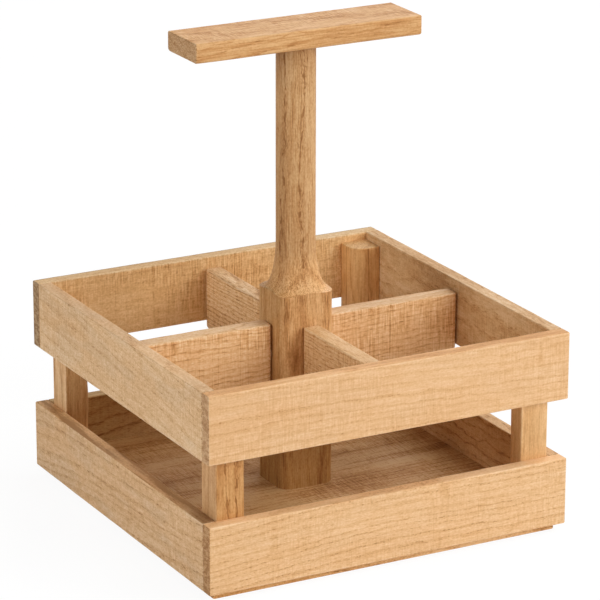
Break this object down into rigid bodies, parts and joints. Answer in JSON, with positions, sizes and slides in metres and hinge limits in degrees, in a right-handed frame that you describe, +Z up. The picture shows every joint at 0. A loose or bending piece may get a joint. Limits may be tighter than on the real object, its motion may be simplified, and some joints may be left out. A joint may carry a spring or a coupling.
{
  "type": "cutlery caddy",
  "caption": "Square oak cutlery caddy: two tiers of boards on corner posts, compartments round a centre post, T-shaped carrying handle.",
  "frame": {"origin": "on the table under the middle of the centre post, at the base panel's underside", "axes": "+X along the front boards and the handle bar, +Y from the front to the back, +Z up along the centre post"},
  "size_m": [0.22, 0.22, 0.2765],
  "materials": {
    "oak_board": "oiled oak, rough sawn",
    "oak_base": "oiled oak, planed",
    "oak_post": "oiled oak, planed",
    "oak_centre_post": "oiled oak, turned",
    "oak_bar": "oiled oak, sanded",
    "oak_divider": "oiled oak, rough sawn",
    "beech_dowel": "plain beech",
    "screw_steel": "zinc plated"
  },
  "bodies": {
    "root": {"base_panel": "oak_base", "lower_front_board": "oak_board", "lower_back_board": "oak_board", "lower_left_board": "oak_board", "lower_right_board": "oak_board", "upper_front_board": "oak_board", "upper_back_board": "oak_board", "upper_left_board": "oak_board", "upper_right_board": "oak_board", "corner_post_back_right": "oak_post", "corner_post_back_left": "oak_post", "corner_post_front_left": "oak_post", "corner_post_front_right": "oak_post", "centre_post": "oak_centre_post", "handle_bar": "oak_bar", "divider_right": "oak_divider", "divider_back": "oak_divider", "divider_left": "oak_divider", "divider_front": "oak_divider", "handle_dowel": "beech_dowel", "divider_post_dowel_right": "beech_dowel", "divider_post_dowel_back": "beech_dowel", "divider_post_dowel_left": "beech_dowel", "divider_post_dowel_front": "beech_dowel", "divider_board_dowel_right": "beech_dowel", "divider_board_dowel_back": "beech_dowel", "divider_board_dowel_left": "beech_dowel", "divider_board_dowel_front": "beech_dowel", "corner_screw_back_right": "screw_steel", "corner_screw_back_left": "screw_steel", "corner_screw_front_left": "screw_steel", "corner_screw_front_right": "screw_steel", "centre_screw": "screw_steel"}
  },
  "joints": []
}
